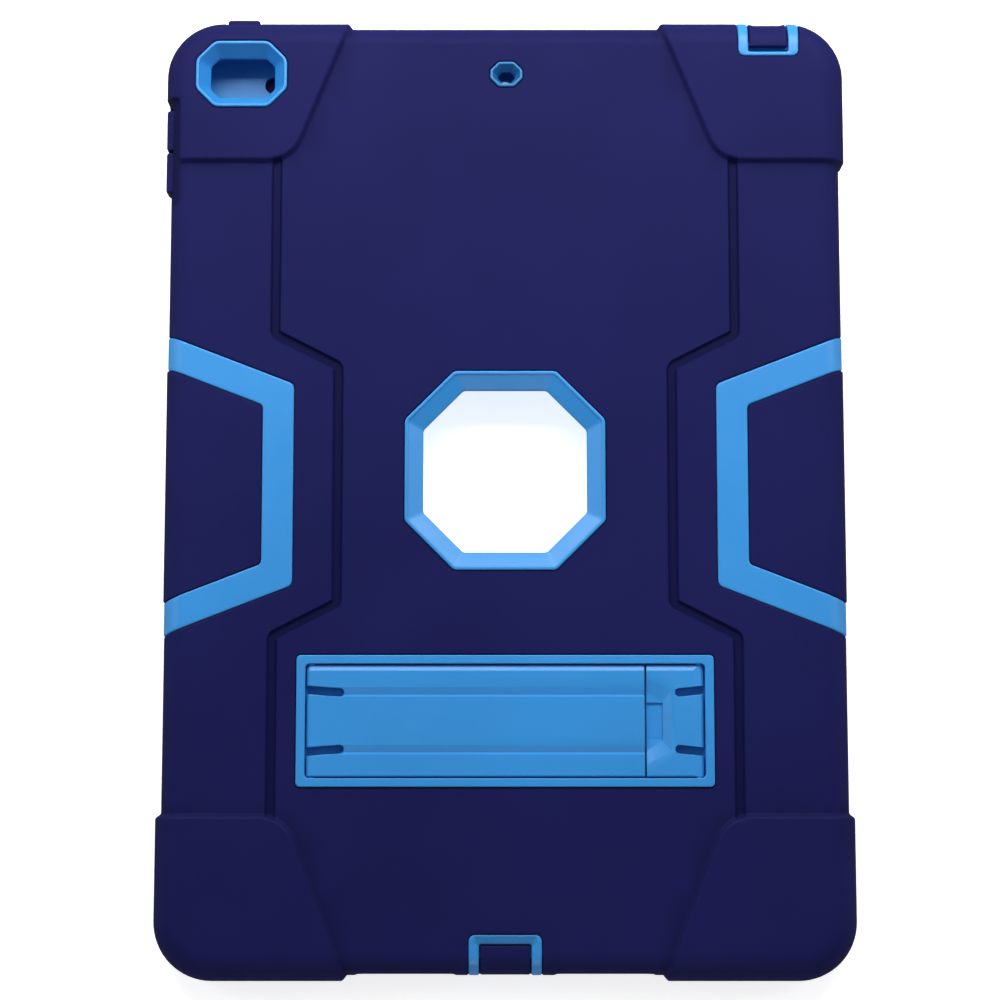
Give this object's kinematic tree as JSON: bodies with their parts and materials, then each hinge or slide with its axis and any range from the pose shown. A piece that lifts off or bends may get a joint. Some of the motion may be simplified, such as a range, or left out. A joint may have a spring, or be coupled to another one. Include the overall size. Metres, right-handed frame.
{
  "type": "tablet case",
  "caption": "Protective tablet case with a hard tray and bezel inside a soft bumper sleeve, a folding stand on its back, hinged port covers and press pads.",
  "frame": {"origin": "middle of the case's plan outline, on the plane that the front lip rests on", "axes": "+X to the right seen from the back, +Y towards the camera end, +Z out of the back"},
  "size_m": [0.1912, 0.2685, 0.016],
  "materials": {
    "blue_polycarbonate": "satin injection moulded",
    "navy_silicone": "matt moulded silicone"
  },
  "bodies": {
    "case": {"back_shell": "blue_polycarbonate", "front_frame": "blue_polycarbonate", "outer_skin": "navy_silicone"},
    "leg": {"stand_leg": "blue_polycarbonate"},
    "foot": {"stand_foot": "blue_polycarbonate"},
    "audio_flap": {"audio_port_flap": "navy_silicone"},
    "charge_flap": {"charge_port_flap": "navy_silicone"},
    "power_button": {"power_button_pad": "navy_silicone"},
    "volume_up": {"volume_up_pad": "navy_silicone"},
    "volume_down": {"volume_down_pad": "navy_silicone"}
  },
  "joints": [
    {"name": "leg_hinge", "type": "hinge", "parent": "case", "child": "leg", "pos_m": [-0.05275, -0.06375, 0.01325], "axis": [0, -1, 0], "range_deg": [0, 90]},
    {"name": "foot_hinge", "type": "hinge", "parent": "case", "child": "foot", "pos_m": [0.05275, -0.06375, 0.01325], "axis": [0, 1, 0], "range_deg": [0, 90]},
    {"name": "audio_flap_hinge", "type": "hinge", "parent": "case", "child": "audio_flap", "pos_m": [0.0741, 0.13295, 0.0026], "axis": [-1, 0, 0], "range_deg": [0, 90], "stiffness_Nm_per_rad": 0.003},
    {"name": "charge_flap_hinge", "type": "hinge", "parent": "case", "child": "charge_flap", "pos_m": [0, -0.13135, 0.0026], "axis": [1, 0, 0], "range_deg": [0, 90], "stiffness_Nm_per_rad": 0.003},
    {"name": "power_press", "type": "slide", "parent": "case", "child": "power_button", "axis": [0, -1, 0], "range_m": [0, 0.0005], "stiffness_N_per_m": 2000},
    {"name": "volume_up_press", "type": "slide", "parent": "case", "child": "volume_up", "axis": [1, 0, 0], "range_m": [0, 0.0005], "stiffness_N_per_m": 2000},
    {"name": "volume_down_press", "type": "slide", "parent": "case", "child": "volume_down", "axis": [1, 0, 0], "range_m": [0, 0.0005], "stiffness_N_per_m": 2000}
  ]
}
